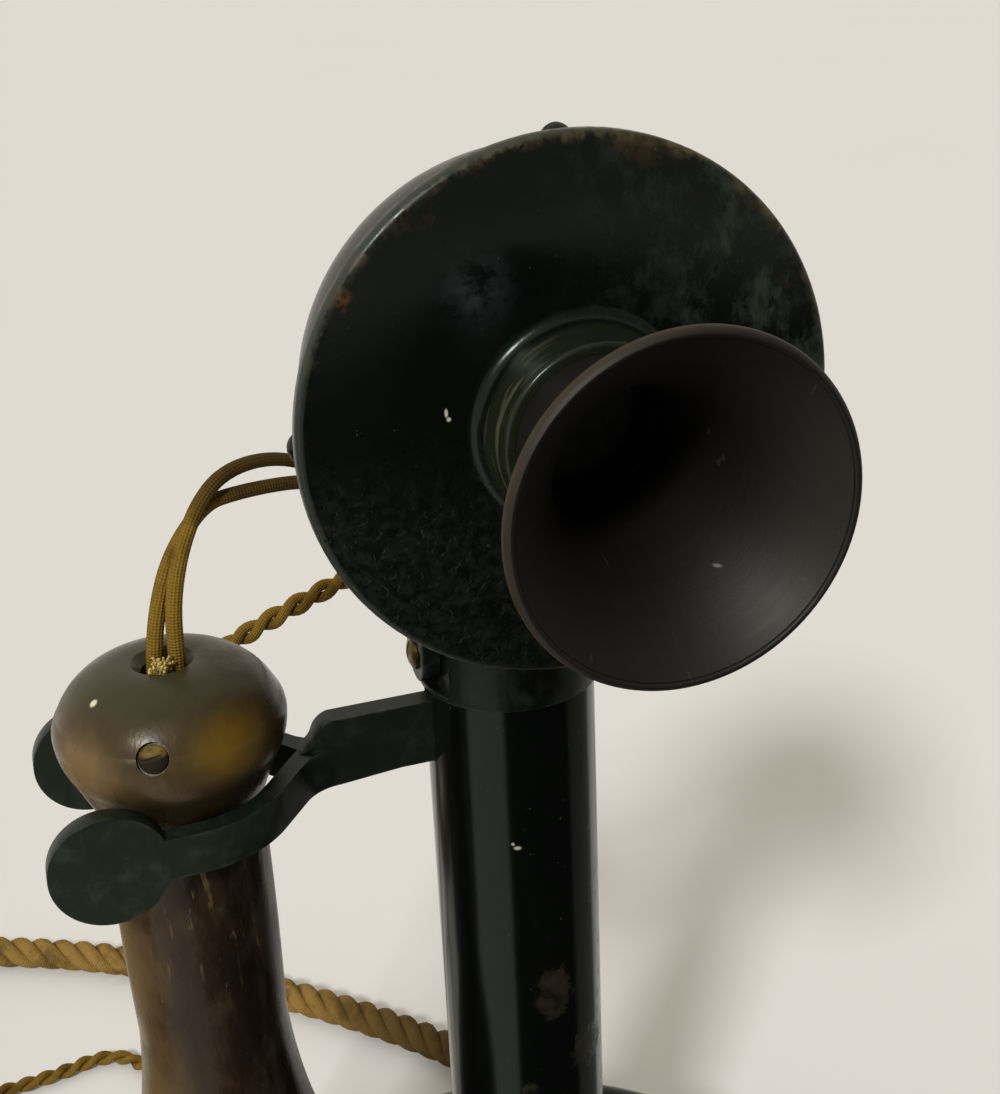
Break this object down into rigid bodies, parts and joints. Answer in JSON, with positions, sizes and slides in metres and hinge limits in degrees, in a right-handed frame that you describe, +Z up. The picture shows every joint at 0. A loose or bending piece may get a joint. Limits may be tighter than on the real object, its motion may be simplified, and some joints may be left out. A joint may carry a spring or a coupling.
{
  "type": "pedestal desk telephone",
  "caption": "Pedestal desk telephone: round base and upright stem carry a tilting transmitter with a flared mouthpiece, and a sprung forked hook holds a bell-shaped receiver.",
  "frame": {"origin": "on the table under the stem's axis, in the middle of the felt pad's underside", "axes": "+Z up along the stem; the transmitter faces -Y; the hook and the receiver are on the -X side"},
  "size_m": [0.3157, 0.3031, 0.2734],
  "materials": {
    "black_enamel": "gloss",
    "japanned_metal": "satin, worn to brass at the edges",
    "blackened_brass": "satin, blackened",
    "brass": "worn",
    "steel": "dull",
    "diaphragm_aluminium": "matte",
    "mouthpiece_ebonite": "satin",
    "receiver_ebonite": "satin, browned with age",
    "insulation": "satin",
    "gasket_rubber": "matte",
    "felt": "felt",
    "coil_winding": "enamelled wire",
    "cord_braid": "braided cotton"
  },
  "bodies": {
    "stand": {"felt_pad": "felt", "base_plate": "steel", "base_plate_screws": "brass", "base_posts": "brass", "base_shell": "black_enamel", "terminal_block": "insulation", "terminal_screws": "brass", "line_cord_bush": "insulation", "receiver_cord_bush": "insulation", "stem_tube": "black_enamel", "stem_nut": "brass", "stem_cap": "blackened_brass", "pivot_screws": "brass", "hook_pivot_pin": "steel", "switch_frame": "steel", "contact_springs": "steel", "spring_insulators": "insulation", "spring_pile_screws": "brass", "receiver_cord": "cord_braid", "line_cord": "cord_braid", "line_cord_coil": "cord_braid", "line_cord_ferrule": "brass", "line_cord_tags": "brass"},
    "hook": {"hook_lever": "blackened_brass", "hook_tail_stud": "insulation"},
    "transmitter": {"transmitter_cup": "japanned_metal", "transmitter_face": "japanned_metal", "face_screws": "blackened_brass", "mouthpiece": "mouthpiece_ebonite", "transmitter_yoke": "blackened_brass", "yoke_screws": "brass", "diaphragm_gasket": "gasket_rubber", "diaphragm": "diaphragm_aluminium", "damping_springs": "steel", "transmitter_bridge": "brass", "button_insulators": "insulation", "carbon_button": "brass", "button_clamp_nut": "brass"},
    "receiver": {"receiver_shell": "receiver_ebonite", "receiver_tail_screw": "brass", "ear_cap": "receiver_ebonite", "receiver_diaphragm": "steel", "receiver_magnets": "steel", "pole_pieces": "steel", "receiver_coils": "coil_winding", "magnet_clamp": "brass", "receiver_terminals": "brass"}
  },
  "joints": [
    {"name": "transmitter_tilt", "type": "hinge", "parent": "stand", "child": "transmitter", "pos_m": [0, 0, 0.1856], "axis": [1, 0, 0], "range_deg": [-20, 15]},
    {"name": "receiver_lift", "type": "slide", "parent": "stand", "child": "receiver", "axis": [-0.766, 0, 0.6428], "range_m": [0, 0.1], "deforming": ["receiver_cord"]},
    {"name": "hook_lift", "type": "hinge", "parent": "stand", "child": "hook", "pos_m": [0.004, 0, 0.1715], "axis": [0, 1, 0], "range_deg": [0, 6]}
  ],
  "couplings": [
    {"joint": "hook_lift", "follows": "receiver_lift", "rad_per_m": 1.0367}
  ]
}
